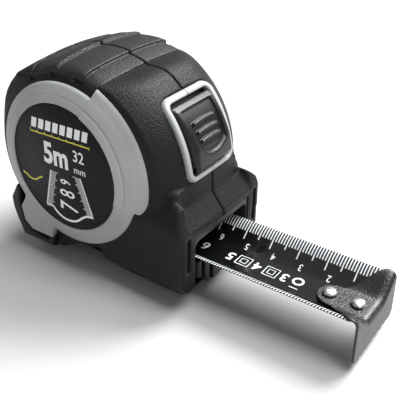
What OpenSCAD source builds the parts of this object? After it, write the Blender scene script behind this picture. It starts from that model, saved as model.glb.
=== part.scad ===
// Pocket tape measure: two moulded case halves around a sprung reel, with a
// sliding thumb lock, a curved steel blade and a floating end hook.
// Axes: +X the way the blade comes out, +Z up, Y across the case.
// The origin lies on the rest plane, straight below the reel axis.

/* [Case] */
// Height of the reel axis above the rest plane
axis_z = 41; // [40.5:0.1:41.5]
// Radius of the round back of the case at its middle
barrel_r = 33.2; // [33:0.1:33.6]
// Radius of the front of the case, which carries the lock
front_r = 38.2; // [38:0.1:38.4]
// Half width of the case at its flat side faces
side_y = 24; // [23.8:0.1:24.2]
// How far the nose reaches in front of the reel axis
nose_x = 44.6; // [44:0.1:45]
// Radius of the round chamber that holds the reel
chamber_r = 30.2; // [29.8:0.1:30.4]
// Half width of the chamber
chamber_y = 17.4; // [17.3:0.1:17.6]

/* [Side trim] */
// Radius of the printed side label
label_r = 21.8; // [21.5:0.1:22]
// Outer radius of the round stretch of the side ring
ring_r = 28.2; // [28:0.1:28.6]
// Outer radius of the ring's front wing
wing_r = 32.9; // [32.5:0.1:33]
// Distance of the ring's outer face from the middle plane
ring_y = 26.5; // [26.3:0.1:26.7]
// Radial play between the label and the ring
label_gap = 0.1; // [0.05:0.05:0.2]

/* [Blade] */
// Flat width of the blade
blade_flat_w = 32; // [31.8:0.1:32]
// Width across the edges of the curved blade
blade_chord = 28.6; // [28.4:0.1:28.8]
// Inner radius of the blade's curve
blade_r = 20.25; // [20:0.05:20.5]
// Thickness of the blade with its coating
blade_t = 0.25; // [0.2:0.05:0.3]
// Height of the blade's top surface at its middle line
trough_z = 12; // [11.8:0.1:12.1]
// Distance of the blade tip from the reel axis
tip_x = 97.6; // [97:0.1:98]
// Rear end of the straight stretch of blade inside the case
blade_rear_x = 29.4; // [29.2:0.1:30]

/* [Reel] */
// Outer radius of the reel drum
drum_r = 15; // [14.5:0.1:15]
// Outer radius of the wound blade
coil_r = 21.6; // [21:0.1:22.2]
// Radius of the fixed centre post
post_r = 3.5; // [3.3:0.1:3.6]
// Running clearance between the post and the reel
run_gap = 0.05; // [0.03:0.01:0.08]
// Number of turns of the mainspring
spring_turns = 5; // [4:1:6]

/* [Hook] */
// Thickness of the hook's steel
hook_t = 1; // [0.9:0.05:1.1]
// Half width of the hook
hook_y = 14.8; // [14.6:0.1:15]
// How far the hook can float on its rivets
hook_float = 1; // [0.9:0.05:1]
// Radius of a rivet's shank
rivet_r = 1; // [0.9:0.05:1.1]
// Places of the rivets along the blade
rivet_x = [83.6, 92.9];

/* [Lock] */
// Angle through which the lock turns down to grip the blade
lock_travel = 4.3; // [3.5:0.1:4.4]
// Angle of the middle of the lock window above the level
lock_mid = 19; // [18.5:0.5:19.5]
// Half length of the bezel along the front of the case
bezel_l = 14.4; // [14.2:0.1:14.5]
// Half width of the bezel
bezel_w = 12.6; // [12.4:0.1:12.7]
// Width of the bezel's rim
bezel_rim = 2.4; // [2.3:0.1:2.5]

/* [Belt clip] */
// Width of the belt clip
clip_w = 16; // [14:1:18]
// Thickness of the belt clip
clip_t = 1; // [0.8:0.1:1.2]

/* [Hidden] */
$fn = 96;
far = 200;
screw_spots = [[35, 4.6], [-16, 4.4], [21.2, axis_z + 27.1]];
screw_r = 1.35;
screw_head_r = 2.7;
screw_head_y = 10;
screw_play = 0.05;
mouth_floor = 3.5;
mouth_rear = 36;
channel_top = 18.9;
pocket_y = 12.8;
leg_x = 21;
leg_y = 6.6;
foot_t = 1.6;
wing_t = 1.9;
label_t = 0.5;
label_drop = 0.8;
guide_t = 0.6;
jaw_x = 38;
groove_y = 2.6;
jaw_slots = [-10, -5.2, 5.2, 10];
jaw_slot_y = 1.1;
pad_x = 23.8;
pad_l = 3.6;
pad_y = 3;
tongue_y = 4.8;
flare_x = 95.5;
flange_round = 2.5;
tooth_pitch = 3.4;
rivet_play = 0.06;
clip_bow = 5.6;
clip_plate_z = 25;
bezel_bottom_r = 36.6;
bezel_top_r = 38.9;
carrier_in_r = 32.2;
carrier_out_r = 35.6;
pocket_out_r = 36.2;
slider_y = bezel_w - bezel_rim - 0.4;
pad_z = trough_z + 2.4;
pad_h = 2.2;
channel_rear = -24.2;
clip_screw_y = 19.2;
channel_y = 15.6;
channel_floor = 10.6;
mouth_top = 23.6;
visor_top = 28.7;
blade_centre = trough_z + blade_r;
ground_clear = 0.3;
hump_top = axis_z + 30.6;
slider_low = lock_mid - 17.3 + lock_travel;
slider_top = lock_mid + 17.1;

// ---- helpers ----------------------------------------------------------

// Side coordinates: x forward, y up, z outwards from the middle plane on the left.
module left_side() rotate([90, 0, 0]) children();

module right_side() mirror([0, 1, 0]) rotate([90, 0, 0]) children();

// A body turned about the reel axis, from [radius, depth] points.
module turned(points) translate([0, axis_z, 0]) rotate_extrude() polygon(points);

// A ring about the reel axis in side coordinates, from depth d0 to d1.
module disc(r, d0, d1) translate([0, axis_z, d0]) cylinder(r = r, h = d1 - d0);

module annulus(r0, r1, d0, d1) difference() {
    disc(r1, d0, d1);
    disc(r0, d0 - 1, d1 + 1);
}

// A wedge about the reel axis between two angles, as a flat outline.
module wedge(a0, a1, r = far) translate([0, axis_z]) polygon(concat([[0, 0]],
    [for (i = [0:4]) let (a = a0 + (a1 - a0) * i / 4) r * [cos(a), sin(a)]]));

// Rounded rectangle about the origin, half sizes a and b, corner radius r.
module rounded(a, b, r) union() {
    square([2 * a - 2 * r, 2 * b], center = true);
    square([2 * a, 2 * b - 2 * r], center = true);
    for (i = [-1, 1], j = [-1, 1]) translate([i * (a - r), j * (b - r)]) circle(r = r);
}

// A prism through the front of the case, centred on the lock window.
module lock_prism(l, w, r) translate([0, 0, axis_z]) rotate([0, -lock_mid, 0])
    translate([25, 0, 0]) rotate([0, 90, 0]) linear_extrude(30) rounded(l, w, r);

// The line of the belt clip's screw, out of the right side.
module clip_axis() translate([0, 0, axis_z + clip_plate_z]) rotate([-90, 0, 0]) children();

// A curved plate about the reel axis in the model frame.
module arc_plate(r0, r1, a0, a1, y0, y1) rotate([90, 0, 0]) intersection() {
    annulus(r0, r1, -y1, -y0);
    translate([0, 0, -y1]) linear_extrude(y1 - y0) wedge(a0, a1, 60);
}

// ---- case -------------------------------------------------------------

barrel_points = [[0, 0], [barrel_r, 0], [barrel_r - 0.1, 11], [barrel_r - 0.8, 15.5],
    [barrel_r - 2.2, 20], [barrel_r - 3.6, side_y], [0, side_y]];
front_points = [[0, 0], [front_r, 0], [front_r - 0.5, 13], [front_r - 3.4, 20],
    [front_r - 4.9, side_y], [0, side_y]];
nose_outline = [[14, 0], [nose_x - 6, 0], [nose_x, 7.5], [nose_x, visor_top],
    [39.9, 34.8], [39.4, 41], [26, 41], [20, 30], [10, 20]];
nose_section = [[-1, 0], [13.8, 0], [22.6, 9.6], [side_y, 22], [side_y - 0.4, 30],
    [20.5, 42], [-1, 42]];
cheek_outline = [[20, 20], [31, 32.5], [37, 37.4], [40.2, 38], [42.2, 36], [nose_x, visor_top],
    [nose_x, 20]];
heel_outline = [[-21, 0], [-7, 0], [-6, 4], [4, 12], [-14, 20], [-26, 17], [-25.5, 10]];
heel_section = [[-1, 0], [17, 0], [side_y - 1.5, 6], [side_y - 1.5, 24], [-1, 24]];

// An outline seen from the side, cut to a cross-section seen from the front.
module keel_block(outline, section) intersection() {
    linear_extrude(side_y) polygon(outline);
    translate([-50, 0, 0]) rotate([90, 0, 90]) linear_extrude(100)
        polygon([for (p = section) [p[1], p[0]]]);
}

module case_outer() union() {
    turned(barrel_points);
    intersection() {
        turned(front_points);
        linear_extrude(side_y) polygon([[12, 30], [12, hump_top],
            [23, hump_top], [60, 50], [60, 30]]);
    }
    keel_block(nose_outline, nose_section);
    intersection() {
        keel_block(cheek_outline, nose_section);
        translate([0, 0, 19.5]) cube([60, 60, 10]);
    }
    keel_block(heel_outline, heel_section);
    linear_extrude(12) polygon([[-12, 0], [20, 0], [20, 14], [-12, 14]]);
}

// The hollows that both halves share, in side coordinates.
module case_hollows() {
    disc(chamber_r, -1, chamber_y);
    translate([channel_rear, channel_floor, -1])
        cube([nose_x - channel_rear, channel_top - channel_floor, channel_y + 1]);
    translate([30, channel_floor, -1]) cube([8, 16, channel_y + 1]);
    translate([mouth_rear, mouth_floor, -1]) cube([20, mouth_top + 2.5 - mouth_floor, channel_y + 1]);
    intersection() {
        annulus(chamber_r - 1, pocket_out_r, -1, pocket_y);
        translate([0, 0, -1]) linear_extrude(pocket_y + 1) wedge(-33, 44, 60);
    }
    translate([leg_x, channel_floor, -1]) cube([15, 21, leg_y + 1]);
}

module case_half() difference() {
    union() {
        case_outer();
        disc(label_r - 0.3, side_y - 0.1, ring_y - label_drop - label_t);
    }
    case_hollows();
}

module window_cuts() {
    lock_prism(bezel_l - bezel_rim, bezel_w - bezel_rim, 1);
    intersection() {
        lock_prism(bezel_l + 0.02, bezel_w + 0.02, 3.5);
        rotate([90, 0, 0]) annulus(bezel_bottom_r, 60, -20, 20);
    }
}

module case_left() color([0.13, 0.14, 0.15]) difference() {
    left_side() case_half();
    window_cuts();
    for (p = screw_spots) translate([p[0], 0, p[1]]) rotate([90, 0, 0])
        translate([0, 0, -1]) cylinder(r = screw_r + screw_play, h = 13);
}

module case_right() color([0.13, 0.14, 0.15]) difference() {
    right_side() case_half();
    window_cuts();
    for (p = screw_spots) translate([p[0], 0, p[1]]) rotate([-90, 0, 0]) {
        translate([0, 0, -1]) cylinder(r = screw_r + 0.25, h = 30);
        translate([0, 0, screw_head_y]) cylinder(r = screw_head_r + 0.3, h = 20);
    }
    clip_axis() translate([0, 0, clip_screw_y - 0.2]) cylinder(r = screw_r + screw_play, h = 6);
}

// Three overlapping rubber pads over the top of one half.
module grip_pads() for (a = [[66, 77, 0.7], [77, 97, 0.9], [97, 128, 0.7]]) intersection() {
    difference() {
        turned([[0, 0.3], [barrel_r + a[2], 0.3], [barrel_r + a[2] - 0.1, 11],
            [barrel_r + a[2] - 0.8, 15.5], [barrel_r - 1.8, 20.5], [barrel_r - 2.6, 21.5], [0, 21.5]]);
        case_outer();
    }
    linear_extrude(side_y) wedge(a[0], a[1], 60);
}

module grip_left() color([0.2, 0.21, 0.22]) left_side() grip_pads();

module grip_right() color([0.2, 0.21, 0.22]) right_side() grip_pads();

// Rubber heel that wraps the lower rear corner outside the ring's foot.
module heel() difference() {
    intersection() {
        linear_extrude(side_y + 0.6) polygon([[-21, 0], [-9.5, 0], [-7, 6.5], [-12, 6.5],
            [-19.4, 8.8], [-23.2, 11.8], [-24.5, 18], [-24.4, 25.5], [-26.3, 25.5], [-28, 20],
            [-27.6, 15], [-25.4, 8]]);
        translate([-50, 0, 0]) rotate([90, 0, 90]) linear_extrude(100)
            polygon([[0, 0.3], [0, 17.6], [6.4, side_y + 0.6], [30, side_y + 0.6], [30, 0.3]]);
    }
    case_outer();
}

module heel_left() color([0.07, 0.07, 0.08]) left_side() heel();

module heel_right() color([0.07, 0.07, 0.08]) right_side() heel();

// ---- side trim --------------------------------------------------------

module side_ring() difference() {
    union() {
        translate([0, axis_z, side_y]) cylinder(r = ring_r, h = 1);
        translate([0, axis_z, side_y + 1]) cylinder(r1 = ring_r, r2 = ring_r - 1.5,
            h = ring_y - side_y - 1);
        intersection() {
            translate([0, axis_z, side_y]) cylinder(r = wing_r, h = wing_t);
            linear_extrude(40) wedge(-14, 63, 60);
        }
        translate([0, 0, side_y]) linear_extrude(foot_t)
            polygon([[-9.5, 9.8], [-19, 9.8], [-22.4, 12.4], [-23.6, 18], [-20, 24], [-8, 18]]);
    }
    disc(label_r + label_gap, side_y - 1, 40);
}

module ring_left() color([0.72, 0.73, 0.74]) left_side() side_ring();

module ring_right() color([0.72, 0.73, 0.74]) difference() {
    right_side() side_ring();
    clip_axis() cylinder(r = screw_r + screw_play, h = 60);
}

module side_label() disc(label_r, ring_y - label_drop - label_t, ring_y - label_drop);

module label_left() color([0.05, 0.05, 0.06]) left_side() side_label();

module label_right() color([0.05, 0.05, 0.06]) right_side() side_label();

// ---- lock -------------------------------------------------------------

module bezel_half() difference() {
    intersection() {
        lock_prism(bezel_l, bezel_w, 3.5);
        rotate([90, 0, 0]) annulus(bezel_bottom_r, bezel_top_r, 0, 20);
    }
    lock_prism(bezel_l - bezel_rim, bezel_w - bezel_rim, 1);
}

module bezel_left() color([0.72, 0.73, 0.74]) bezel_half();

module bezel_right() color([0.72, 0.73, 0.74]) mirror([0, 1, 0]) bezel_half();

module lock_slider() color([0.07, 0.07, 0.08]) {
    difference() {
        union() {
            arc_plate(carrier_out_r, 39.2, slider_low, slider_top, -slider_y, slider_y);
            arc_plate(38.5, 40.6, slider_low, slider_low + 6, -slider_y, slider_y);
        }
        arc_plate(38.3, 42, slider_low + 6.6, slider_top - 3.2, -slider_y + 1.8, slider_y - 1.8);
    }
    for (a = [16.4, 20.7, 25])
        arc_plate(38, 39.1, a - 0.8, a + 0.8, -6.5, 6.5);
}

module lock_carrier() color([0.25, 0.25, 0.27]) difference() {
    union() {
        arc_plate(carrier_in_r, carrier_out_r, -21, 39, -12, 12);
        translate([0, 5, 0]) rotate([90, 0, 0]) linear_extrude(10) polygon([[30.6, 31],
            [33.2, 30.4], [33, 26.5], [pad_x + pad_l + 0.2, pad_z + pad_h], [pad_x, pad_z + pad_h],
            [pad_x, 19.5], [28.5, 27.5]]);
    }
    arc_plate(carrier_in_r - 1, 34, -14, 32, -8, 8);
}

// Rubber shoe under the carrier's leg that presses into the trough of the blade.
module brake_pad() color([0.1, 0.1, 0.1]) translate([pad_x, -pad_y, pad_z])
    cube([pad_l, 2 * pad_y, pad_h]);

// Bowed strip spring that gives the lock its two clicks, held in both side walls.
module lock_spring() color([0.6, 0.61, 0.63])
    arc_plate(31.1, 31.5, 8, 16, -pocket_y, pocket_y);

// ---- reel -------------------------------------------------------------

module reel_drum() color([0.75, 0.76, 0.7]) rotate([90, 0, 0]) {
    annulus(drum_r - 1.8, drum_r, -15.6, 15.6);
    annulus(post_r + run_gap, drum_r - 1, 14.4, 15.6);
    annulus(drum_r - 1.8, 25, 16.2, 16.8);
    annulus(drum_r - 1.8, drum_r, 15.5, 16.3);
}

module reel_cap() color([0.75, 0.76, 0.7]) rotate([90, 0, 0]) {
    annulus(post_r + run_gap, 25, -16.8, -16.2);
    annulus(drum_r - 3.2, drum_r - 1.85, -16.2, -13.6);
}

module blade_coil() color([0.12, 0.12, 0.13]) rotate([90, 0, 0])
    annulus(drum_r, coil_r, -blade_flat_w / 2 + 0.2, blade_flat_w / 2 - 0.2);

// Flat outline of the mainspring, an even spiral from the drum to near the post.
function spiral(r, turns, from, pitch) = [for (i = [0:turns * 24])
    let (a = i * 15) (r - pitch * i / 24 - from) * [cos(a), sin(a)]];

module mainspring() color([0.35, 0.37, 0.42]) let (pitch = 1.5,
    outer = spiral(drum_r - 1.9, spring_turns, 0, pitch),
    inner = spiral(drum_r - 1.9, spring_turns, 0.6, pitch),
    count = len(outer))
    translate([0, 12.8, axis_z]) rotate([90, 0, 0]) linear_extrude(26)
        polygon(concat(outer, [for (i = [1:count]) inner[count - i]]));

module centre_post() color([0.55, 0.56, 0.58]) rotate([90, 0, 0])
    disc(post_r, -chamber_y, chamber_y);

module post_washers() color([0.85, 0.7, 0.4]) rotate([90, 0, 0]) {
    annulus(post_r, post_r + 2.5, 16.9, chamber_y);
    annulus(post_r, post_r + 2.5, -chamber_y, -16.9);
}

// ---- mouth ------------------------------------------------------------

// Smooth arch-shaped liner round the top and sides of the mouth.
module mouth_guide() color([0.3, 0.31, 0.32]) difference() {
    translate([jaw_x, -channel_y, 9.6]) cube([nose_x - jaw_x - 0.4, 2 * channel_y, mouth_top + 2.5 - 9.6]);
    translate([30, -channel_y + guide_t, 0]) cube([30, 2 * (channel_y - guide_t), mouth_top]);
}

// Lower jaw that carries the blade, with upright ribs on its front.
module lower_jaw() color([0.08, 0.08, 0.09]) difference() {
    translate([jaw_x, 0, 0]) rotate([90, 0, 90]) linear_extrude(nose_x - jaw_x)
        polygon([[-6, mouth_floor], [6, mouth_floor], [11, 7.5], [13.4, 9.2], [13.4, 15], [-13.4, 15],
            [-13.4, 9.2], [-11, 7.5]]);
    translate([30, 0, blade_centre]) rotate([0, 90, 0]) cylinder(r = blade_r + blade_t + 0.3, h = 30);
    translate([30, -groove_y, channel_floor - 0.3]) cube([30, 2 * groove_y, 10]);
    for (y = jaw_slots)
        translate([nose_x - 1.2, y - jaw_slot_y, 2]) cube([3, 2 * jaw_slot_y, 30]);
}

// ---- blade and hook ---------------------------------------------------

// Flat cross-section of the curved strip, thickened inwards or outwards.
module strip_section(r0, r1, half) intersection() {
    difference() {
        circle(r = r1);
        circle(r = r0);
    }
    translate([-half, -r1 - 1]) square([2 * half, r1]);
}

module along_blade(x0, x1) translate([x0, 0, blade_centre]) rotate([90, 0, 90])
    linear_extrude(x1 - x0) children();

module blade() color([0.05, 0.05, 0.05]) difference() {
    along_blade(blade_rear_x, tip_x) strip_section(blade_r, blade_r + blade_t, blade_chord / 2);
    for (x = rivet_x) translate([x, 0, 0]) cylinder(r = rivet_r, h = 30);
}

hook_under_r = blade_r - 0.15;
hook_top_r = hook_under_r - 0.9;
flange_x = tip_x + 0.1 + hook_float;

// A point of the flare between the hook's tongue and its full width.
function flare_point(a, side) = [flare_x - 10.5 * sin(a),
    side * (tongue_y + (hook_y - tongue_y) * (1 - sin(a)) * (1 - 0.3 * sin(a)))];

// Outline of the hook from above: a narrow tongue that flares to full width.
hook_outline = concat([[flange_x + hook_t, -hook_y], [flange_x + hook_t, hook_y], [flare_x, hook_y]],
    [for (i = [1:6]) flare_point(i * 15, 1)],
    [for (i = [0:6]) let (a = 90 + i * 30) [82.5 + tongue_y * 0.5 * cos(a), tongue_y * sin(a)]],
    [for (i = [6:-1:1]) flare_point(i * 15, -1)],
    [[flare_x, -hook_y]]);

module hook() color([0.06, 0.06, 0.07]) difference() {
    union() {
        intersection() {
            along_blade(78, flange_x + hook_t) strip_section(hook_top_r, hook_under_r, hook_y);
            linear_extrude(40) polygon(hook_outline);
        }
        intersection() {
            translate([flange_x, 0, 0]) rotate([90, 0, 90]) linear_extrude(hook_t)
                difference() {
                    translate([0, 20 + ground_clear]) rounded(hook_y, 20, flange_round);
                    for (y = [-2.5 * tooth_pitch:tooth_pitch:9]) translate([y, ground_clear])
                        polygon([[-1.3, -1], [1.3, -1], [0, 0.8]]);
                }
            translate([60, 0, 0]) difference() {
                translate([0, -20, 0]) cube([60, 40, 22]);
                translate([-1, 0, blade_centre]) rotate([0, 90, 0]) cylinder(r = hook_top_r, h = 80);
            }
        }
    }
    for (x = rivet_x) {
        translate([x, 0, 0]) cylinder(r = rivet_r + rivet_play, h = 30);
        translate([x + hook_float, 0, 0]) cylinder(r = rivet_r + rivet_play, h = 30);
        translate([x, -rivet_r - rivet_play, 0]) cube([hook_float, 2 * (rivet_r + rivet_play), 30]);
    }
}

module hook_rivets() color([0.8, 0.8, 0.82]) for (x = rivet_x) translate([x, 0, trough_z]) {
    translate([0, 0, -1]) cylinder(r = rivet_r - 0.01, h = 3.2);
    translate([0, 0, 1.6]) cylinder(r1 = 2.3, r2 = 1.6, h = 0.9);
    translate([0, 0, -1.2]) cylinder(r = 1.9, h = 0.8);
}

// ---- fasteners --------------------------------------------------------

// Spring steel clip seen from the front, [y, z] points along its inner face.
module belt_clip() color([0.5, 0.51, 0.53]) difference() {
    translate([-clip_w / 2, 0, 0]) rotate([90, 0, 90]) linear_extrude(clip_w) polygon([
        [ring_y, axis_z + 27.5], [ring_y + clip_t, axis_z + 27.5], [ring_y + clip_t, axis_z + 20],
        [ring_y + clip_bow, axis_z + 14], [ring_y + clip_bow, axis_z - 14], [ring_y + 3.2, axis_z - 19],
        [ring_y + 4.6, axis_z - 23], [ring_y + 3.6, axis_z - 23], [ring_y + 2.1, axis_z - 19],
        [ring_y + clip_bow - clip_t, axis_z - 14.2], [ring_y + clip_bow - clip_t, axis_z + 13.8],
        [ring_y, axis_z + 19.6]]);
    clip_axis() cylinder(r = 1.5, h = 60);
}

module clip_screw() color([0.7, 0.7, 0.72]) clip_axis() {
    translate([0, 0, clip_screw_y]) cylinder(r = screw_r, h = ring_y + clip_t - clip_screw_y);
    translate([0, 0, ring_y + clip_t]) cylinder(r = 2.6, h = 1.1);
}

module case_screws() color([0.7, 0.7, 0.72]) for (p = screw_spots)
    translate([p[0], 0, p[1]]) rotate([-90, 0, 0]) {
        translate([0, 0, -11.5]) cylinder(r = screw_r, h = 11.6 + screw_head_y);
        translate([0, 0, screw_head_y]) cylinder(r = screw_head_r, h = 2);
    }

case_left();
case_right();
grip_left();
grip_right();
heel_left();
heel_right();
ring_left();
ring_right();
label_left();
label_right();
bezel_left();
bezel_right();
lock_slider();
lock_carrier();
brake_pad();
lock_spring();
reel_drum();
reel_cap();
blade_coil();
mainspring();
centre_post();
post_washers();
mouth_guide();
lower_jaw();
blade();
hook();
hook_rivets();
belt_clip();
clip_screw();
case_screws();
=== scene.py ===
"""Looks of a pocket tape measure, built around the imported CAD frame.

Shapes are worked out in millimetres in the frame's own axes: +X the way the blade comes out,
+Z up, -Y the labelled side. The reel turns about the line x = 0, z = AXIS_Z.
"""
import math

import bmesh
import bpy
import numpy as np
from mathutils import Matrix, Vector


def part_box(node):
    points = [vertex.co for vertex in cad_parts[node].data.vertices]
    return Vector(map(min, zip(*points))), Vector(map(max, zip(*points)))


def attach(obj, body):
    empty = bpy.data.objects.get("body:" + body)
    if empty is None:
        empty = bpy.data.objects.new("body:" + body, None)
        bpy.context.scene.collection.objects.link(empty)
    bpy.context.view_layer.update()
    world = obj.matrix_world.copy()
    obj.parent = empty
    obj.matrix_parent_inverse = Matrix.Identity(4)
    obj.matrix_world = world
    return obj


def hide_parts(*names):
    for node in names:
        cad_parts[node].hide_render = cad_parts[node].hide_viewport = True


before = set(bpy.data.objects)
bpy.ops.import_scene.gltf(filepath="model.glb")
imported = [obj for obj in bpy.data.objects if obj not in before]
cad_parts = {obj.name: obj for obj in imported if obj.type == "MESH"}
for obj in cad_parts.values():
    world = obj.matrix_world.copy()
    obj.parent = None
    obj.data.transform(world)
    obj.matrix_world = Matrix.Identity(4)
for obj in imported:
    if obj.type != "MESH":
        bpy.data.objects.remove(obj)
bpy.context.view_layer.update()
MM = 0.001


def corners(node):
    """Lowest and highest corner of a CAD node, in millimetres."""
    low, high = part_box(node)
    return np.array(low) / MM, np.array(high) / MM


# ---- driving sizes, in millimetres -----------------------------------------------------------------

AXIS_Z = (corners("centre_post")[0][2] + corners("centre_post")[1][2]) / 2
LABEL_R = (corners("label_left")[1][0] - corners("label_left")[0][0]) / 2
RING_Y = -corners("ring_left")[0][1]
SIDE_Y = -corners("case_left")[0][1] - 1.2
FLANK_Y = 23.1
HUMP_Y = 21.7
LEAN = 1.2
NOSE_X = corners("case_left")[1][0]
HOOK_HALF = corners("hook")[1][1]
TIP_X = corners("blade")[1][0]
BLADE_REAR_X = corners("blade")[0][0]
BLADE_HALF = corners("blade")[1][1]
BLADE_EDGE_Z = corners("blade")[1][2]
TROUGH_Z = 12.0
BLADE_T = 0.25
FRONT_R, FRONT_X, FRONT_Z = 38.87, 0.94, -1.95
LOCK_MID = 20.5


# ---- fields: negative inside, roughly in millimetres -----------------------------------------------

def join(a, b, r=0.01):
    """Union of two fields with a fillet."""
    h = np.maximum(r - np.abs(a - b), 0) / r
    return np.minimum(a, b) - h * h * r / 4


def cut(a, b, r=0.01):
    """Intersection of two fields with a rounded edge."""
    return -join(-a, -b, r)


def polygon(u, v, points):
    """Distance to a closed outline, negative inside."""
    best = np.full(np.broadcast(u, v).shape, 1e9)
    sign = np.ones(best.shape)
    for (ax, ay), (bx, by) in zip(points, points[-1:] + points[:-1]):
        ex, ey = bx - ax, by - ay
        wu, wv = u - ax, v - ay
        t = np.clip((wu * ex + wv * ey) / (ex * ex + ey * ey), 0, 1)
        best = np.minimum(best, (wu - ex * t) ** 2 + (wv - ey * t) ** 2)
        above, below = v >= ay, v < by
        left = ex * wv > ey * wu
        sign = np.where((above & below & left) | (~above & ~below & ~left), -sign, sign)
    return sign * np.sqrt(best)


def rounded_rect(u, v, a, b, r):
    """Distance to a rectangle of half sizes a and b about the origin, with round corners."""
    p, q = np.abs(u) - a + r, np.abs(v) - b + r
    return np.hypot(np.maximum(p, 0), np.maximum(q, 0)) + np.minimum(np.maximum(p, q), 0) - r


def block(x, y, z, low, high, r=0.01):
    """Distance to a box between two corners."""
    field = -1e9
    for value, a, b in zip((x, y, z), low, high):
        field = cut(field, np.abs(value - (a + b) / 2) - (b - a) / 2, r)
    return field


def polar(x, z):
    """Radius and angle in degrees about the reel axis."""
    return np.hypot(x, z - AXIS_Z), np.degrees(np.arctan2(z - AXIS_Z, x))


def between(angle, low, high, radius):
    """Distance to the sector between two angles, along the arc at a radius."""
    return (np.abs(angle - (low + high) / 2) - (high - low) / 2) * math.radians(1) * radius


# ---- from a field to a mesh ------------------------------------------------------------------------

def crossings(values, cells):
    """Mean place, in steps, where a cell's edges cross the surface."""
    total = np.zeros(cells.shape)
    count = np.zeros(len(cells))
    for axis in range(3):
        others = [a for a in range(3) if a != axis]
        for shift in ((0, 0), (0, 1), (1, 0), (1, 1)):
            start = cells.copy()
            start[:, others] += shift
            end = start.copy()
            end[:, axis] += 1
            a, b = values[tuple(start.T)], values[tuple(end.T)]
            crossed = (a < 0) != (b < 0)
            point = start[crossed].astype(float)
            point[:, axis] += a[crossed] / (a[crossed] - b[crossed])
            total[crossed] += point
            count[crossed] += 1
    return total / count[:, None]


def surface(field, low, high, step):
    """Vertices and quads of a field's zero surface, by surface nets and a few Newton steps."""
    sizes = [int(math.ceil((b - a) / step)) + 2 for a, b in zip(low, high)]
    low = np.array(low) - step / 2
    axes = [low[i] + step * np.arange(sizes[i]) for i in range(3)]
    values = np.array(np.broadcast_to(field(*np.meshgrid(*axes, indexing="ij", sparse=True)), sizes))
    inside = values < 0
    parts = [inside[i:sizes[0] - 1 + i, j:sizes[1] - 1 + j, k:sizes[2] - 1 + k]
             for i in (0, 1) for j in (0, 1) for k in (0, 1)]
    mixed = np.logical_or.reduce(parts) & ~np.logical_and.reduce(parts)
    cells = np.argwhere(mixed)
    number = np.zeros(mixed.shape, int)
    number[mixed] = np.arange(len(cells))
    points = low + step * crossings(values, cells)
    quads = []
    for axis in range(3):
        one, two = (axis + 1) % 3, (axis + 2) % 3
        first = np.moveaxis(inside, axis, 0)
        edges = np.argwhere(np.moveaxis(first[:-1] != first[1:], 0, axis))
        edges = edges[(edges[:, one] > 0) & (edges[:, two] > 0)
                      & (edges[:, one] < sizes[one] - 1) & (edges[:, two] < sizes[two] - 1)]
        around = []
        for p, q in ((-1, -1), (0, -1), (0, 0), (-1, 0)):
            cell = edges.copy()
            cell[:, one] += p
            cell[:, two] += q
            around.append(number[tuple(cell.T)])
        quad = np.stack(around, 1)
        outward = inside[tuple(edges.T)]
        quads.append(np.where(outward[:, None], quad, quad[:, ::-1]))
    return settle(field, points, step), np.concatenate(quads)


def settle(field, points, step):
    """Moves points onto the zero surface along its gradient."""
    probe = 0.02
    for _ in range(4):
        value = field(*points.T)
        slope = np.stack([(field(*(points + probe * unit).T) - field(*(points - probe * unit).T))
                          / (2 * probe) for unit in np.eye(3)], 1)
        move = (value / np.maximum((slope ** 2).sum(1), 0.2))[:, None] * slope
        length = np.maximum(np.linalg.norm(move, axis=1), 1e-9)
        points = points - move * np.minimum(1, 0.4 * step / length)[:, None]
    return points


# ---- pieces ----------------------------------------------------------------------------------------

def piece(name, points, faces, body, slot, material, stands_for=(), mirror=False, smooth=True):
    """A mesh in millimetres becomes a piece that rides on a body."""
    points = np.array(points, float) * MM
    faces = [tuple(int(i) for i in f) for f in faces]
    if mirror:
        points = points * [1, -1, 1]
        faces = [f[::-1] for f in faces]
    mesh = bpy.data.meshes.new(name)
    mesh.from_pydata(points.tolist(), [], faces)
    mesh.validate()
    if smooth:
        mesh.shade_smooth()
    mesh.materials.append(material)
    made = bpy.data.objects.new(name, mesh)
    bpy.context.scene.collection.objects.link(made)
    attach(made, body)
    if stands_for:
        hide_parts(*stands_for)
    return made


def pair(names, net, body, slot, material, nodes):
    """The same net on the left, as made, and mirrored on the right."""
    for name, node, mirror in zip(names, nodes, (False, True)):
        piece(name, *net, body, slot, material, [node], mirror)


# ---- materials -------------------------------------------------------------------------------------

def linear(value):
    """A grey level from 0 to 255 as a linear value."""
    value = value / 255
    return value / 12.92 if value <= 0.04045 else ((value + 0.055) / 1.055) ** 2.4


def colour(red, green, blue):
    return (linear(red), linear(green), linear(blue), 1)


def shader(name):
    """A new material with its node tree, shader and object coordinates."""
    material = bpy.data.materials.new(name)
    material.use_nodes = True
    nodes, links = material.node_tree.nodes, material.node_tree.links
    body = nodes["Principled BSDF"]
    place = nodes.new("ShaderNodeTexCoord").outputs["Object"]
    return material, nodes, links, body, place


def noise(nodes, links, place, scale, detail=3.0):
    made = nodes.new("ShaderNodeTexNoise")
    made.inputs["Scale"].default_value = scale
    made.inputs["Detail"].default_value = detail
    links.new(place, made.inputs["Vector"])
    return made.outputs["Fac"]


def spread(nodes, links, value, low, high):
    """Stretches a noise value onto a range."""
    made = nodes.new("ShaderNodeMapRange")
    made.inputs["From Min"].default_value = 0.3
    made.inputs["From Max"].default_value = 0.7
    made.inputs["To Min"].default_value = low
    made.inputs["To Max"].default_value = high
    links.new(value, made.inputs["Value"])
    return made.outputs["Result"]


def mixed_colour(nodes, links, value, dark, light):
    made = nodes.new("ShaderNodeMix")
    made.data_type = "RGBA"
    made.inputs["A"].default_value = dark
    made.inputs["B"].default_value = light
    links.new(value, made.inputs["Factor"])
    return made.outputs["Result"]


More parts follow.
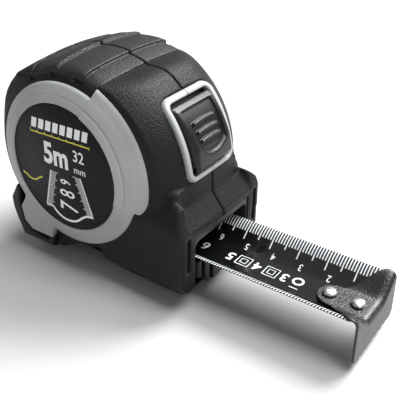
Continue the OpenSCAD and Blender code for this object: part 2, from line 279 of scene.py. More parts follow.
def bumped(nodes, links, height, strength, depth, before=None):
    made = nodes.new("ShaderNodeBump")
    made.inputs["Strength"].default_value = strength
    made.inputs["Distance"].default_value = depth
    links.new(height, made.inputs["Height"])
    if before is not None:
        links.new(before, made.inputs["Normal"])
    return made.outputs["Normal"]


def moulded(name, dark, light, rough, grain=1900, relief=0.35, specular=0.5, blotch=60):
    """Moulded plastic or rubber: fine spark-eroded grain over slow tone changes."""
    material, nodes, links, body, place = shader(name)
    slow = noise(nodes, links, place, blotch, 4)
    fine = noise(nodes, links, place, grain, 2)
    tone = spread(nodes, links, slow, 0, 1)
    links.new(mixed_colour(nodes, links, tone, dark, light), body.inputs["Base Color"])
    links.new(spread(nodes, links, fine, rough[0], rough[1]), body.inputs["Roughness"])
    body.inputs["Specular IOR Level"].default_value = specular
    links.new(bumped(nodes, links, fine, relief, 0.00025), body.inputs["Normal"])
    return material


def metal(name, dark, light, rough, grain=900, relief=0.1, metallic=1.0):
    """Bare or plated steel with fine working marks."""
    material, nodes, links, body, place = shader(name)
    fine = noise(nodes, links, place, grain, 3)
    links.new(mixed_colour(nodes, links, fine, dark, light), body.inputs["Base Color"])
    links.new(spread(nodes, links, fine, rough[0], rough[1]), body.inputs["Roughness"])
    body.inputs["Metallic"].default_value = metallic
    links.new(bumped(nodes, links, fine, relief, 0.0001), body.inputs["Normal"])
    return material


def lacquered(name, dark, light, rough):
    """Black coating with a clear, slightly rippled gloss."""
    material, nodes, links, body, place = shader(name)
    slow = noise(nodes, links, place, 90, 3)
    fine = noise(nodes, links, place, 2500, 2)
    links.new(mixed_colour(nodes, links, slow, dark, light), body.inputs["Base Color"])
    links.new(spread(nodes, links, fine, rough[0], rough[1]), body.inputs["Roughness"])
    body.inputs["Specular IOR Level"].default_value = 1.0
    links.new(bumped(nodes, links, slow, 0.03, 0.0003), body.inputs["Normal"])
    return material


CASE = moulded("case_shell", colour(11, 12, 13), colour(19, 20, 22), (0.4, 0.62), 1900, 0.9, 0.22)
GRIP = moulded("grip_pads", colour(16, 18, 19), colour(27, 29, 31), (0.4, 0.62), 1900, 0.9, 0.35)
HEEL = moulded("heel_pads", colour(17, 18, 20), colour(27, 28, 30), (0.4, 0.6), 1800, 0.6, 0.3)
RING = moulded("ring_trim", colour(150, 152, 153), colour(163, 165, 166), (0.38, 0.5), 2600, 0.15, 0.35)
LABEL = moulded("label_face", colour(10, 10, 13), colour(22, 22, 27), (0.4, 0.6), 1500, 0.5, 0.2, 1400)
SLIDER = moulded("slider_gloss", colour(12, 13, 14), colour(20, 21, 23), (0.3, 0.42), 2600, 0.2, 0.4)
LINER = moulded("mouth_liner", colour(30, 32, 34), colour(42, 44, 46), (0.35, 0.5), 2400, 0.2, 0.3)
JAW = moulded("jaw_plastic", colour(12, 13, 14), colour(20, 21, 22), (0.35, 0.5), 2400, 0.25, 0.3)
INNER = moulded("inner_plastic", colour(52, 54, 58), colour(66, 68, 72), (0.4, 0.55), 2000, 0.2)
REEL = moulded("reel_plastic", colour(186, 188, 176), colour(204, 205, 194), (0.35, 0.5), 2200, 0.2)
INK = moulded("white_print", colour(226, 228, 230), colour(244, 245, 246), (0.35, 0.5), 3000, 0.1)
YELLOW = moulded("yellow_print", colour(222, 214, 62), colour(238, 230, 84), (0.35, 0.5), 3000, 0.1)
BLADE_INK = moulded("blade_print", colour(186, 190, 192), colour(210, 213, 215), (0.25, 0.4), 3000, 0.05)
BLADE = lacquered("blade_lacquer", colour(8, 9, 10), colour(15, 16, 17), (0.08, 0.16))
HOOK = moulded("hook_blackened", colour(20, 21, 22), colour(34, 36, 37), (0.28, 0.42), 1500, 0.6, 0.55)
STEEL = metal("bright_steel", colour(190, 192, 194), colour(226, 227, 229), (0.2, 0.4))
SPRING = metal("spring_steel", colour(96, 104, 122), colour(150, 152, 160), (0.25, 0.4))
CLIP = metal("clip_steel", colour(150, 152, 156), colour(186, 188, 192), (0.25, 0.42))
BRASS = metal("washer_brass", colour(196, 158, 84), colour(224, 188, 112), (0.22, 0.36))


# ---- case ------------------------------------------------------------------------------------------

NOSE_OUTLINE = [(14, 0), (38.6, 0), (44.6, 7.4), (44.6, 28.6), (39.9, 34.8), (39.4, 41),
                (26, 41), (20, 30), (10, 20)]
NOSE_SECTION = [(-9, 0), (13.8, 0), (22.6, 9.6), (23.7, 12), (23.7, 31), (20.6, 37.5), (18, 42), (-9, 42)]
CHEEK_OUTLINE = [(20, 20), (31.4, 33), (37.4, 37.8), (40.3, 38.9), (42.3, 37.2), (44.6, 29), (44.6, 20)]
CHEEK_SECTION = [(-9, 14), (23.9, 14), (23.9, 31), (19.5, 39.5), (-9, 41)]
HEEL_OUTLINE = [(-21, 0), (-16.5, 0), (-8.5, 5.2), (4, 12), (-14, 20), (-26, 17), (-25.5, 10)]
HEEL_SECTION = [(-9, 0), (15, 0), (22.4, 6.5), (22.4, 24), (-9, 24)]
SOLE_OUTLINE = [(-4, 1), (20, 0), (20, 14), (-6, 14)]
BUMPER_OUTLINE = [(-22.8, 68.2), (-16.3, 71.4), (-8, 73.8), (-4, 73.9), (0, 60), (-14, 50), (-27, 40),
                  (-30, 42), (-31.6, 48), (-31.3, 53), (-30.4, 57), (-28.8, 60.6), (-26.4, 64.2)]
SCREW_SPOTS = [(35, 4.6, 3), (-16, 4.4, 3)]
POCKET_ANGLES = (119.5, 100.5, 80.5)


def keel(x, s, z, outline, section, r):
    """An outline seen from the side, cut to a section seen from the front."""
    return cut(polygon(x, z, outline), polygon(s, z, section), r)


def lock_window(x, s, z):
    """Coordinates across the lock window: along the front, and across it."""
    a = math.radians(LOCK_MID)
    return -x * math.sin(a) + (z - AXIS_Z) * math.cos(a), s


def proud(x, z):
    """Height above the curved front face, seen from the side."""
    return np.hypot(x - FRONT_X, z - AXIS_Z - FRONT_Z) - FRONT_R


def top_shell(x, s, z):
    """The drum of the case with its crowned top, sloping flank and rear bumper."""
    r, angle = polar(x, z)
    crown = 0.0034 * s ** 2
    rear = np.clip((np.abs(angle) - 125) / 25, 0, 1)
    drum = cut(r - 33.5 + crown, 0.555 * (r - 28.1 - 1.3 * rear) + 0.832 * (s - 23.4), 2.6)
    drum = cut(drum, s - FLANK_Y, 0.8)
    bumper = cut(polygon(x, z, BUMPER_OUTLINE) + crown, s - 22.2, 1)
    bumper = cut(bumper, 0.743 * (z - 67.3) + 0.669 * (s - 22.2), 1)
    return join(drum, bumper, 1)


def case_outside(x, s, z):
    """The moulded outside of one half, s being the distance from the middle plane."""
    q = proud(x, z) + 0.0015 * s ** 2
    front = cut(q, 0.867 * q + 0.5 * (s - 14.4), 3)
    front = cut(front, z - (AXIS_Z + 30.6) + 0.002 * s ** 2, 2)
    front = cut(front, s - HUMP_Y, 1.2)
    front = cut(front, 12 - x, 1)
    front = cut(front, 26 - z, 1)
    body = join(top_shell(x, s, z), front, 0.8)
    nose = keel(x, s, z, NOSE_OUTLINE, NOSE_SECTION, 1.6)
    cheek = keel(x, s, z, CHEEK_OUTLINE, CHEEK_SECTION, 2.4)
    cheek = cut(cheek, 17.5 - s, 2)
    body = join(body, join(nose, cheek, 0.8), 1.4)
    body = join(body, keel(x, s, z, HEEL_OUTLINE, HEEL_SECTION, 1), 1)
    body = join(body, cut(polygon(x, z, SOLE_OUTLINE), s - 12, 1), 1)
    return cut(body, s - SIDE_Y, 1.6)


def case_hollow(x, s, z):
    """The space for the reel, the blade, the lock and the mouth."""
    r, angle = polar(x, z)
    reel = cut(r - 30.2, s - 17.4)
    channel = block(x, s, z, (-24.2, -9, 10.6), (NOSE_X, 15.6, 18.9))
    mouth = block(x, s, z, (35, -9, 3.5), (60, 15.6, 26.1))
    lock = cut(cut(29.2 - r, r - 36.2), cut(s - 12.8, between(angle, -33, 44, 34)))
    leg = block(x, s, z, (21, -9, 10.6), (38, 6.6, 31.6))
    u, v = lock_window(x, s, z)
    seat = cut(rounded_rect(u, v, 13.85, 12.45, 3.6), np.maximum(-1.9 - proud(x, z), 10 - x))
    window = cut(rounded_rect(u, v, 11.75, 10.2, 1.2), 25 - x)
    hollow = np.minimum(np.minimum(reel, channel), np.minimum(mouth, lock))
    return np.minimum(np.minimum(hollow, leg), np.minimum(seat, window))


def nose_slots(x, s, z):
    """The upright slots in the front of the mouth's side pillars."""
    tall = block(x, s, z, (NOSE_X - 1.4, 18.4, 14.7), (NOSE_X + 3, 20, 27.4), 0.5)
    return tall


def pad_pockets(x, s, z):
    """Small dark recesses where the grip panels end on the shoulder."""
    r, angle = polar(x, z)
    field = 1e9
    for middle in POCKET_ANGLES:
        spot = cut(between(angle, middle - 4, middle + 3.6, 31), np.abs(s - 22.2) - 0.9, 0.6)
        field = np.minimum(field, cut(spot, 29.2 - r, 0.5))
    return field


def case_field(screws, lean):
    """Field of one case half; the right half has the screws' counterbores too."""
    def field(x, y, z):
        s = -y
        solid = cut(case_outside(x, s + lean, z), 0.05 - s, 1.1)
        if screws:
            low_cheek = np.minimum(0.78 * (z - 34.3) + 0.62 * (s - 18), np.minimum(x - 36.5, s - 15))
            solid = cut(solid, low_cheek, 0.8)
        label_seat = cut(np.hypot(x, z - AXIS_Z) - 21.5, np.abs(s - 23.6) - 1.6)
        solid = np.minimum(solid, label_seat)
        solid = cut(solid, -case_hollow(x, s, z), 0.3)
        solid = cut(solid, -nose_slots(x, s, z), 0.3)
        solid = cut(solid, -pad_pockets(x, s + lean, z), 0.5)
        for cx, cz, radius in SCREW_SPOTS if screws else ():
            hole = np.hypot(x - cx, z - cz)
            solid = cut(solid, -cut(hole - radius, 10 - s), 0.3)
        return solid
    return field


def make_case():
    low, high = (-34.5, -25.6, -0.5), (45.2, 0.5, 75)
    left = surface(case_field(False, 0), low, high, 0.5)
    right = surface(case_field(True, LEAN), low, high, 0.5)
    piece("case_left_shell", *left, "case", "case_plastic", CASE, ["case_left"])
    piece("case_right_shell", *right, "case", "case_plastic", CASE, ["case_right"], mirror=True)


# ---- grip pads -------------------------------------------------------------------------------------

PADS = [(65.5, 77, 0.1, 0.7), (77, 97, 0.1, 1.0), (97, 118, 0.1, 0.95), (118, 131, 0.1, 0.6)]


def pads_field(lean):
    """Shingled panels across the top: each rises towards its front end."""
    def field(x, y, z):
        s = -y + lean
        r, angle = polar(x, z)
        shell = top_shell(x, s, z)
        whole = 1e9
        for front, rear, thin, thick in PADS:
            share = np.clip((rear - angle) / (rear - front), 0, 1)
            panel = cut(shell - thin - (thick - thin) * share, between(angle, front, rear + 1, 33), 0.45)
            whole = np.minimum(whole, panel)
        whole = cut(whole, s - 21.9, 0.7)
        whole = cut(whole, 0.1 + lean - s, 1.1)
        whole = cut(whole, 0.555 * (r - 29.3 - 12 * (angle > 122)) + 0.832 * (s - 23.4), 0.8)
        whole = cut(whole, -pad_pockets(x, s, z), 0.4)
        return cut(whole, -0.8 - shell, 0.2)
    return field


def make_pads():
    low, high = (-26, -22.4, 50), (16, 0.4, 76)
    piece("grip_left_pads", *surface(pads_field(0), low, high, 0.4), "case", "grip_rubber", GRIP,
          ["grip_left"])
    piece("grip_right_pads", *surface(pads_field(LEAN), low, high, 0.4), "case", "grip_rubber", GRIP,
          ["grip_right"], mirror=True)


# ---- heel ------------------------------------------------------------------------------------------

HEEL_PAD = [(-21, 0.2), (-16.8, 0.2), (-10.4, 4.6), (-8.6, 11), (-12, 8), (-19.4, 8.8), (-23.2, 11.8),
            (-24.5, 18), (-24.2, 25.6), (-25.4, 25.6), (-28.6, 19.8), (-28.2, 15.8), (-26.8, 12), (-24, 6)]
HEEL_PAD_SECTION = [(-9, 0.4), (16, 0.4), (24.2, 6.4), (24.2, 30), (-9, 30)]


def heel_field(x, y, z):
    s = -y
    pad = keel(x, s, z, HEEL_PAD, HEEL_PAD_SECTION, 0.9)
    return cut(cut(pad, -(case_outside(x, s, z) - 0.05), 0.2), 0.1 - s, 0.6)


# ---- ring and label --------------------------------------------------------------------------------

FOOT_OUTLINE = [(-9.5, 9.8), (-19, 9.8), (-22.4, 12.4), (-23.6, 18), (-20, 24), (-8, 18)]


def ring_field(x, y, z):
    """Domed ring round the label with a wing at the front and a foot at the rear."""
    s = -y
    r, angle = polar(x, z)
    inner = 0.952 * (s - RING_Y + 0.32 * (r - 21.9))
    outer = 0.887 * (s - RING_Y + 0.85 + 0.5 * (r - 24.7))
    disc = cut(cut(inner, outer, 0.1), r - 28.15, 0.7)
    wing = cut(outer, between(angle, -17.5, 66.5, 30), 0.6)
    wing = cut(wing, r - 31.5, 0.5)
    wing = cut(wing, 0.8 * (r - 30.6) + 0.6 * (s - 22.9), 0.2)
    foot = cut(polygon(x, z, FOOT_OUTLINE), s - 24.7, 0.9)
    ring = join(join(disc, wing, 0.5), foot, 0.9)
    ring = cut(ring, LABEL_R + 0.1 - r, 0.7)
    step = np.hypot(r - 24.7, s - RING_Y + 0.8) - 0.3
    return cut(cut(ring, -step, 0.3), 20.4 - s, 0.05)


def make_side_trim():
    low, high = (-28.8, -RING_Y - 0.4, 7), (33.6, -20, 76)
    net = surface(ring_field, low, high, 0.36)
    pair(("ring_left_trim", "ring_right_trim"), net, "case", "grey_plastic", RING,
         ("ring_left", "ring_right"))


def disc_rings(radii, depths, steps=128):
    """Points and quads of a turned shape about the reel axis, closed at its middle."""
    points, faces = [], []
    for r, depth in zip(radii, depths):
        points += [(r * math.cos(2 * math.pi * i / steps), -depth,
                    AXIS_Z + r * math.sin(2 * math.pi * i / steps)) for i in range(steps)]
    for k in range(len(radii) - 1):
        for i in range(steps):
            j = (i + 1) % steps
            faces.append((k * steps + i, k * steps + j, (k + 1) * steps + j, (k + 1) * steps + i))
    faces.append(tuple(reversed(range(steps))))
    last = (len(radii) - 1) * steps
    faces.append(tuple(last + i for i in range(steps)))
    return points, faces


def make_labels():
    top = RING_Y - 0.55
    radii = [LABEL_R - 0.05, LABEL_R, LABEL_R, LABEL_R - 0.15]
    net = disc_rings(radii, [top - 0.5, top - 0.45, top - 0.12, top])
    pair(("label_left_face", "label_right_face"), net, "case", "label_print", LABEL,
         ("label_left", "label_right"))


# ---- print: thin raised shapes ---------------------------------------------------------------------

class Print:
    """Collects flat shapes, in the plane of the surface they're printed on."""

    def __init__(self):
        self.points, self.faces = [], []

    def strip(self, left, right):
        """A band between two rows of 2-D points."""
        base = len(self.points)
        self.points += list(left) + list(right)
        n = len(left)
        self.faces += [(base + i, base + i + 1, base + n + i + 1, base + n + i) for i in range(n - 1)]

    def stroke(self, path, width):
        """A band of one width along a path, square at its ends."""
        path = [np.array(p, float) for p in path]
        sides = []
        for i, p in enumerate(path):
            along = path[min(i + 1, len(path) - 1)] - path[max(i - 1, 0)]
            across = np.array([-along[1], along[0]]) / max(np.linalg.norm(along), 1e-9) * width / 2
            sides.append((p - across, p + across))
        self.strip([tuple(a) for a, b in sides], [tuple(b) for a, b in sides])

    def text(self, words, at, size, turn=0.0, bold=0.0, squeeze=1.0, longest=0.6):
        """Plain figures from the built-in font, centred on a point."""
        curve = bpy.data.curves.new("figures", "FONT")
        curve.body = words
        curve.size = size
        curve.align_x, curve.align_y = "CENTER", "CENTER"
        curve.offset = bold
        shape = bpy.data.objects.new("figures", curve)
        bpy.context.scene.collection.objects.link(shape)
        bpy.context.view_layer.update()
        mesh = bpy.data.meshes.new_from_object(shape.evaluated_get(bpy.context.evaluated_depsgraph_get()))
        work = bmesh.new()
        work.from_mesh(mesh)
        bmesh.ops.triangulate(work, faces=work.faces[:])
        for _ in range(4):
            long = [e for e in work.edges if e.calc_length() > longest]
            if not long:
                break
            bmesh.ops.subdivide_edges(work, edges=long, cuts=1)
        bmesh.ops.triangulate(work, faces=work.faces[:])
        base = len(self.points)
        c, s = math.cos(math.radians(turn)), math.sin(math.radians(turn))
        for vertex in work.verts:
            px, py = vertex.co.x * squeeze, vertex.co.y
            self.points.append((at[0] + c * px - s * py, at[1] + s * px + c * py))
        self.faces += [tuple(base + v.index for v in f.verts) for f in work.faces]
        work.free()
        bpy.data.objects.remove(shape)
        bpy.data.curves.remove(curve)
        bpy.data.meshes.remove(mesh)

    def solid(self, place, thick):
        """Points and faces of the shapes given a thickness; place(u, v, height) puts them in space."""
        n = len(self.points)
        points = [place(u, v, thick) for u, v in self.points] + [place(u, v, -0.05) for u, v in self.points]
        edges = {}
        for f in self.faces:
            for a, b in zip(f, f[1:] + f[:1]):
                edges[(a, b)] = True
        faces = list(self.faces) + [tuple(n + i for i in reversed(f)) for f in self.faces]
        faces += [(b, a, n + a, n + b) for (a, b) in edges if (b, a) not in edges]
        return points, faces


def arc(cx, cy, r, start, end, count=16):
    return [(cx + r * math.cos(math.radians(start + (end - start) * i / count)),
             cy + r * math.sin(math.radians(start + (end - start) * i / count))) for i in range(count + 1)]


def label_white():
    """White print of the side label: a bar pattern, the length, the width and a drawn blade."""
    art = Print()
    for k in range(8):
        x, low, high = -12.8 + 3.1 * k, 11.4 + 0.1 * k, 14.9 + 0.12 * k
        art.strip([(x, low), (x + 2.2, low)], [(x + 0.7, high), (x + 2.9, high)])
    art.text("5m", (-2.8, 3.3), 10.4, bold=0.34, squeeze=0.82)
    art.text("32", (7.0, 5.7), 5.6, bold=0.04, squeeze=0.88)
    art.text("mm", (7.3, 0.9), 3.5, squeeze=0.95)
    left, right = [(-5.5, -2.4), (-8.7, -16.4)], [(7.2, -1.5), (11.7, -14.3)]
    art.stroke(left, 0.55)
    art.stroke(right, 0.55)
    for k in range(24):
        t = (k + 0.5) / 24
        x = left[0][0] + (left[1][0] - left[0][0]) * t
        y = left[0][1] + (left[1][1] - left[0][1]) * t
        art.stroke([(x, y), (x + (3.2 if k % 5 == 0 else 2.4), y)], 0.2)
        x = right[0][0] + (right[1][0] - right[0][0]) * t
        y = right[0][1] + (right[1][1] - right[0][1]) * t
        art.stroke([(x, y), (x - (3.2 if k % 5 == 0 else 2.4), y)], 0.2)
    art.stroke([(-8.8, -16.4), (-7.2, -16.1)] + arc(0.6, -11.2, 8.1, 218, 320, 18)
               + [(9.0, -14.9), (12.0, -14.4)],
               0.75)
    for figure, at, size in (("9", (0.9, -5.0), 6.2), ("8", (1.5, -9.1), 9.0), ("7", (2.0, -14.0), 11.0)):
        art.text(figure, at, size, turn=90, bold=0.06, squeeze=0.62)
    return art


def label_yellow():
    """Yellow ruled line and the blade's section."""
    art = Print()
    art.stroke([(-13.3, 9.8), (12.2, 10.5)], 0.35)
    for k in range(9):
        x = -13.2 + 3.15 * k
        art.stroke([(x, 9.8 + 0.03 * k), (x, 10.7 + 0.03 * k)], 0.3)
    art.stroke([(-18.6, -6.8), (-17.8, -7.4)] + arc(-14.4, -4.9, 3.7, 222, 322, 14)
               + [(-10.4, -6.8), (-9.9, -6.2)],
               0.45)
    return art


def make_label_print():
    top = RING_Y - 0.55
    for side, sign in (("left", 1), ("right", -1)):
        def place(u, v, height):
            return (u * sign, -sign * (top + height), AXIS_Z + v)
        for art, ink, what in ((label_white(), INK, "white"), (label_yellow(), YELLOW, "yellow")):
            piece(f"label_{side}_{what}", *art.solid(place, 0.04), "case", "label_print", ink, smooth=False)


# ---- bezel and slider ------------------------------------------------------------------------------

def bezel_field(x, y, z):
    s = -y
    q = proud(x, z)
    u, v = lock_window(x, s, z)
    rim = cut(rounded_rect(u, v, 13.75, 12.35, 3.9), q - 0.6, 0.9)
    rim = cut(rim, -rounded_rect(u, v, 11.75, 10.2, 1.9), 0.9)
    rim = cut(rim, -1.8 - q, 0.2)
    return cut(cut(rim, 0.03 - s, 0.35), 20 - x)


SLIDER_ANGLES = (3.0, 3.9, 7.2, 14.4, 25.5, 33.5, 36.6)
SLIDER_RADII = (38.9, 40.4, 42.0, 42.1, 41.0, 40.0, 38.7)


def slider_field(x, y, z):
    """Thumb block that thickens towards its lower lip, with a ribbed tray in its face."""
    s = np.abs(y)
    r, angle = polar(x, z)
    top = np.interp(angle, SLIDER_ANGLES, SLIDER_RADII)
    skin = cut(r - top + 0.25 * (s / 9.8) ** 2, 0.97 * (s - 9.95) + 0.25 * (r - 38.9), 0.9)
    skin = cut(skin, between(angle, 3.5, 36.6, 39), 0.6)
    skin = cut(skin, -cut(r - 40.4, (angle - 7.5) * 0.68), 0.2)
    floor = top - 1.15
    end = 12.2 + 3.0 * (s / 6.8) ** 2 - 1.6 * (r - floor)
    tray = cut(floor - r, s - 6.8 - 0.055 * (angle - 14), 0.7)
    tray = cut(tray, (angle - 33.2) * 0.67, 0.7)
    tray = cut(tray, (end - angle) * 0.55, 0.5)
    skin = cut(skin, -tray, 0.35)
    for middle, half in ((26, 5.6), (21.8, 5.3), (17.8, 5.0)):
        bow = middle - 0.4 * (s / half) ** 2
        ridge = np.interp(middle, SLIDER_ANGLES, SLIDER_RADII) - 0.75
        rib = cut(np.hypot((angle - bow) * 0.67, r - ridge) - 0.62,
                  s - half, 0.5)
        skin = join(skin, rib, 0.25)
    return cut(skin, 35.7 - r, 0.2)


def make_lock():
    net = surface(bezel_field, (27, -13, 38), (41, 0.4, 68), 0.28)
    pair(("bezel_left_rim", "bezel_right_rim"), net, "case", "grey_plastic", RING,
         ("bezel_left", "bezel_right"))
    net = surface(slider_field, (28, -10.5, 42), (43, 10.5, 66), 0.24)
    piece("lock_thumb_slider", *net, "lock", "lock_plastic", SLIDER, ["lock_slider"])


# ---- mouth -----------------------------------------------------------------------------------------

def guide_field(x, y, z):
    """Liner of the mouth: an arch in a plate behind the visor's front."""
    s = np.abs(y)
    plate = block(x, s, z, (38.2, -9, 9.7), (NOSE_X - 0.4, 15.55, 26), 0.2)
    arch = cut(rounded_rect(s, z - 14, 15.0, 9.6, 2.2), 30 - x)
    return cut(plate, -arch, 0.5)


JAW_FRONT = NOSE_X - 0.8
JAW_OUTLINE = [(-9, 3.5), (6, 3.5), (11, 7.5), (13.4, 9.2), (13.4, 15.4), (-9, 15.4)]


def jaw_field(x, y, z):
    s = np.abs(y)
    jaw = cut(polygon(s, z, JAW_OUTLINE), np.abs(x - (JAW_FRONT + 38) / 2) - (JAW_FRONT - 38) / 2, 0.7)
    jaw = cut(jaw, z - blade_height(y) + BLADE_T + 0.25, 0.2)
    jaw = cut(jaw, -cut(s - 2.6, 10.3 - z), 0.2)
    for middle in (5.2, 10):
        slot = cut(np.abs(s - middle) - 1.0, JAW_FRONT - 1.5 - x, 0.3)
        jaw = cut(jaw, -slot, 0.4)
    return jaw


def make_mouth():
    net = surface(guide_field, (37.8, -16, 9), (44.8, 16, 26.6), 0.35)
    piece("mouth_liner", *net, "case", "inner_plastic", LINER, ["mouth_guide"])
    net = surface(jaw_field, (37.5, -14, 3), (45.2, 14, 16), 0.35)
    piece("lower_jaw_block", *net, "case", "inner_plastic", JAW, ["lower_jaw"])


# ---- blade -----------------------------------------------------------------------------------------

HOOK_T = 0.8
FLANGE_X = 98.9
BLADE_TIP_X = FLANGE_X - 2.8


def blade_height(y):
    """Height of the blade's upper face: a flat trough that rises to nearly level wings."""
    t = np.clip((np.abs(y) - 4.6) / 10.0, 0, 1)
    return TROUGH_Z + (BLADE_EDGE_Z - TROUGH_Z) * t * t * (3 - 2 * t) / 0.997


def blade_slope(y):
    return (blade_height(y + 0.05) - blade_height(y - 0.05)) / 0.1


def on_blade(x, y, height):
    """A point at a height above the blade's upper face, along its normal."""
    slope = blade_slope(y)
    length = math.hypot(1, slope)
    return (x, y - height * slope / length, blade_height(y) + height / length)


def make_blade():
    rows = np.linspace(-BLADE_HALF + 0.12, BLADE_HALF - 0.12, 61)
    columns = np.linspace(BLADE_REAR_X, BLADE_TIP_X, 35)
    section = [(y, 0.0) for y in rows] + [(BLADE_HALF - 0.02, -BLADE_T / 2)]
    section += [(y, -BLADE_T) for y in reversed(rows)] + [(-BLADE_HALF + 0.02, -BLADE_T / 2)]
    n = len(section)
    points = [on_blade(x, y, h) for x in columns for y, h in section]
    faces = [(k * n + i, k * n + (i + 1) % n, (k + 1) * n + (i + 1) % n, (k + 1) * n + i)
             for k in range(len(columns) - 1) for i in range(n)]
    last = (len(columns) - 1) * n
    for base, flip in ((0, True), (last, False)):
        for i in range(len(rows) - 1):
            j = 2 * len(rows) - i
            cap = (base + i, base + i + 1, base + j - 1, base + j)
            faces.append(cap if flip else cap[::-1])
        ends = ((base, base + 2 * len(rows), base + n - 1),
                (base + len(rows) - 1, base + len(rows), base + len(rows) + 1))
        for e in ends:
            faces.append(e if flip else e[::-1])
    piece("blade_strip", points, faces, "blade", "blade_coat", BLADE, ["blade"])


def blade_marks():
    """Millimetre scale along both edges, figures and a round mark."""
    art = Print()
    count = int(TIP_X - BLADE_REAR_X)
    for k in range(3, count):
        x = TIP_X - k
        inward = 5.9 if k % 10 == 0 else 4.8 if k % 5 == 0 else 3.7
        for side in (1, -1):
            ys = np.linspace(BLADE_HALF - 0.1, BLADE_HALF - inward, 8) * side
            art.strip([(x - 0.21, y) for y in ys[::-side]], [(x + 0.21, y) for y in ys[::-side]])
    for k in (2, 3, 4, 5, 6):
        art.text(str(k), (TIP_X - 10 * k + 2.5, 6.7), 3.0, turn=180, bold=0.03, longest=0.5)
    for k in (3, 4, 5, 6):
        art.text(str(k), (TIP_X - 10 * k + 0.4, 0.1), 5.6, turn=180, bold=0.1, longest=0.7)
    for x in (53.0, 63.2):
        for half, width in ((2.3, 0.35), (1.1, 0.3)):
            left, right = x - half, x + half
            art.stroke([(left, -half), (right, -half), (right, half), (left, half), (left, -half)], width)
    ring = [(72.6 + 1.6 * math.cos(a), 0.6 + 1.6 * math.sin(a)) for a in np.linspace(0, 2 * math.pi, 33)]
    art.stroke(ring, 0.75)
    art.stroke([(71.2, -3.1), (74.2, -3.1)], 0.35)
    return art


def make_blade_print():
    piece("blade_marks", *blade_marks().solid(on_blade, 0.02), "blade", "blade_coat", BLADE_INK, smooth=False)


# ---- hook ------------------------------------------------------------------------------------------

BEND_R = 1.9
FLANGE_LOW = 2.6


def hook_field(x, y, z):
    s = np.abs(y)
    rise = z - blade_height(s) - 0.15 - HOOK_T / 2
    tilt = 1 / np.sqrt(1 + blade_slope(s) ** 2)
    face = FLANGE_X - HOOK_T / 2
    across = x - (face - BEND_R)
    flat = np.where(across < 0, np.abs(rise) * tilt, 1e3)
    turn = np.where((across >= 0) & (rise >= -BEND_R), np.abs(np.hypot(across, rise + BEND_R) - BEND_R), 1e3)
    drop = np.where(rise < -BEND_R, np.abs(x - face), 1e3)
    sheet = np.minimum(np.minimum(flat, turn), drop) - HOOK_T / 2
    tongue = np.hypot(x - 84.6, s) - 4.9
    neck = cut(83.5 - x, s - hook_width(x), 0.8)
    outline = join(np.maximum(tongue, x - 86), neck, 0.8)
    outline = np.where(x > 96, s - HOOK_HALF + 0.3, outline)
    bottom = rounded_rect(s, z - 22 - FLANGE_LOW, HOOK_HALF - 0.3, 22.0, 2.6)
    teeth = FLANGE_LOW + 0.4 - z + 0.3 * np.cos(y * 2 * math.pi / 3.4)
    sheet = cut(sheet, outline, 0.3)
    sheet = cut(sheet, bottom, 0.3)
    return cut(sheet, np.where(s < 10.5, teeth, -1e3), 0.1)


def hook_width(x):
    """Half width of the hook seen from above: a narrow tongue that flares out."""
    t = np.clip((x - 84.2) / 11.6, 0, 1)
    return 4.7 + (HOOK_HALF - 5.0) * t * t * (2.1 - 1.1 * t)


def make_hook():
    net = surface(hook_field, (79, -15.1, 0), (101, 15.1, 21), 0.25)
    piece("end_hook", *net, "hook", "hook_steel", HOOK, ["hook"])


def turned(profile, place, steps=40):
    """A profile of radii and heights turned about an axis, place gives the point."""
    points = [place(r, 2 * math.pi * i / steps, h) for r, h in profile for i in range(steps)]
    faces = []
    for k in range(len(profile) - 1):
        for i in range(steps):
            j = (i + 1) % steps
            faces.append((k * steps + j, k * steps + i, (k + 1) * steps + i, (k + 1) * steps + j))
    return points, faces


def gathered(meshes):
    """Several lists of points and faces as one."""
    points, faces = [], []
    for more_points, more_faces in meshes:
        faces += [tuple(len(points) + i for i in face) for face in more_faces]
        points += more_points
    return points, faces


RIVET = [(0.0, 1.15), (1.2, 1.1), (1.9, 0.85), (2.3, 0.4), (2.35, 0.05), (2.2, -0.12), (1.05, -0.15),
         (1.0, -1.6), (1.8, -1.62), (1.9, -1.75), (1.7, -2.2), (0.0, -2.25)]
SCREW = [(0, -11.5), (1.0, -11.5), (1.3, -10.8), (1.3, 10), (2.6, 10.05), (2.6, 11.2), (2.3, 11.8), (1.2, 12),
         (1.1, 11.1), (0, 11)]
TOP_SCREW = [(0, -11.5), (1.0, -11.5), (1.3, -10.8), (1.3, 9.8), (1.4, 10.6), (0, 10.7)]


def make_rivets():
    meshes = []
    for cx in (83.6, 92.9):
        def place(r, a, h):
            wave = 1 + (0.04 * math.sin(3 * a + cx) if h > 0 else 0)
            return (cx + r * wave * math.cos(a), r * wave * math.sin(a), TROUGH_Z + 1.3 + h)
        meshes.append(turned(RIVET, place))
    piece("hook_rivet_heads", *gathered(meshes), "blade", "bright_steel", STEEL, ["hook_rivets"])


def make_screws():
    meshes = []
    for cx, cz, profile in ((35, 4.6, SCREW), (-16, 4.4, SCREW), (20.4, AXIS_Z + 26.2, TOP_SCREW)):
        meshes.append(turned(profile, lambda r, a, h: (cx + r * math.cos(a), h, cz + r * math.sin(a))))
    piece("case_screw_set", *gathered(meshes), "case", "bright_steel", STEEL, ["case_screws"])


# ---- belt clip -------------------------------------------------------------------------------------

CLIP_LINE = [(0.05, 69), (0.95, 69), (0.95, 61), (5.55, 55), (5.55, 27), (3.2, 22), (4.55, 18), (3.65, 18),
             (2.15, 22), (4.65, 27), (4.65, 54.8), (0.05, 60.6)]


def clip_field(x, y, z):
    """Bent spring strip with round corners, seen from the front in CLIP_LINE."""
    return cut(polygon(y - RING_Y, z, CLIP_LINE), rounded_rect(x, z - 43.2, 7.95, 25.2, 7.9), 0.2)


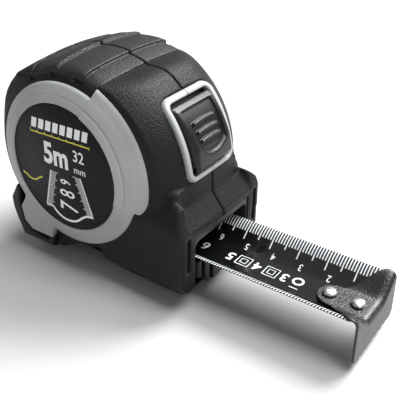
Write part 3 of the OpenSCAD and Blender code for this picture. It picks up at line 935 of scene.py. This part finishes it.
def make_clip():
    low, high = (-8.2, RING_Y - 0.3, 17.5), (8.2, RING_Y + 5.8, 69)
    piece("belt_clip_strip", *surface(clip_field, low, high, 0.35), "case", "spring_steel", CLIP,
          ["belt_clip"])


# ---- CAD nodes that keep their shape ---------------------------------------------------------------

def finish_cad_nodes():
    looks = {"lock_carrier": INNER, "brake_pad": HEEL, "lock_spring": SPRING, "reel_drum": REEL,
             "reel_cap": REEL, "blade_coil": BLADE, "mainspring": SPRING, "centre_post": STEEL,
             "post_washers": BRASS, "clip_screw": STEEL}
    for node, material in looks.items():
        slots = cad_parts[node].data.materials
        slots.clear()
        slots.append(material)


# ---- scene -----------------------------------------------------------------------------------------

CAMERA_AT = Vector((152.36, -172.31, 155.00)) * MM
AZIMUTH, ELEVATION, ROLL = math.radians(34.581), math.radians(27.339), math.radians(0.643)


def make_camera():
    back = Vector((math.sin(AZIMUTH) * math.cos(ELEVATION), -math.cos(AZIMUTH) * math.cos(ELEVATION),
                   math.sin(ELEVATION)))
    level = Vector((math.cos(AZIMUTH), math.sin(AZIMUTH), 0))
    upright = back.cross(level)
    right = math.cos(ROLL) * level + math.sin(ROLL) * upright
    up = -math.sin(ROLL) * level + math.cos(ROLL) * upright
    data = bpy.data.cameras.new("view")
    data.sensor_width = 36
    data.lens = 66.77
    data.shift_x, data.shift_y = 0.0098, -0.1248
    data.clip_start, data.clip_end = 0.01, 20
    camera = bpy.data.objects.new("view", data)
    bpy.context.scene.collection.objects.link(camera)
    turn = Matrix((right, up, back)).transposed()
    camera.matrix_world = Matrix.Translation(CAMERA_AT) @ turn.to_4x4()
    bpy.context.scene.camera = camera


def make_floor():
    material, nodes, links, body, place = shader("floor_paint")
    tone = noise(nodes, links, place, 3, 2)
    links.new(mixed_colour(nodes, links, tone, (0.48, 0.48, 0.48, 1), (0.5, 0.5, 0.5, 1)),
              body.inputs["Base Color"])
    body.inputs["Roughness"].default_value = 0.9
    body.inputs["Specular IOR Level"].default_value = 0.1
    mesh = bpy.data.meshes.new("floor")
    half = 4.0
    mesh.from_pydata([(-half, -half, 0), (half, -half, 0), (half, half, 0), (-half, half, 0)], [],
                     [(0, 1, 2, 3)])
    mesh.materials.append(material)
    floor = bpy.data.objects.new("floor", mesh)
    bpy.context.scene.collection.objects.link(floor)


def softbox(name, at, target, size, power):
    data = bpy.data.lights.new(name, "AREA")
    data.shape = "RECTANGLE"
    data.size, data.size_y = size
    data.energy = power
    lamp = bpy.data.objects.new(name, data)
    bpy.context.scene.collection.objects.link(lamp)
    lamp.location = at
    lamp.rotation_euler = (Vector(target) - Vector(at)).to_track_quat("-Z", "Y").to_euler()


def make_light():
    scene = bpy.context.scene
    scene.view_settings.view_transform = "Standard"
    world = bpy.data.worlds.new("studio")
    scene.world = world
    world.use_nodes = True
    world.node_tree.nodes["Background"].inputs["Color"].default_value = (1, 1, 1, 1)
    world.node_tree.nodes["Background"].inputs["Strength"].default_value = 0.3
    aim = (0.02, 0, 0.04)
    softbox("back", (0.22, 0.62, 0.85), aim, (0.6, 0.6), 26)
    softbox("top", (0.45, 0.0, 1.0), aim, (0.5, 0.6), 9)
    softbox("front", (0.9, -0.7, 0.6), aim, (0.6, 0.5), 1.2)


make_camera()
make_case()
make_pads()
pair(("heel_left_pad", "heel_right_pad"), surface(heel_field, (-29, -25, -0.3), (-5, 0.4, 27), 0.4),
     "case", "heel_rubber", HEEL, ("heel_left", "heel_right"))
make_side_trim()
make_labels()
make_label_print()
make_lock()
make_mouth()
make_blade()
make_blade_print()
make_hook()
make_rivets()
make_screws()
make_clip()
finish_cad_nodes()
make_floor()
make_light()
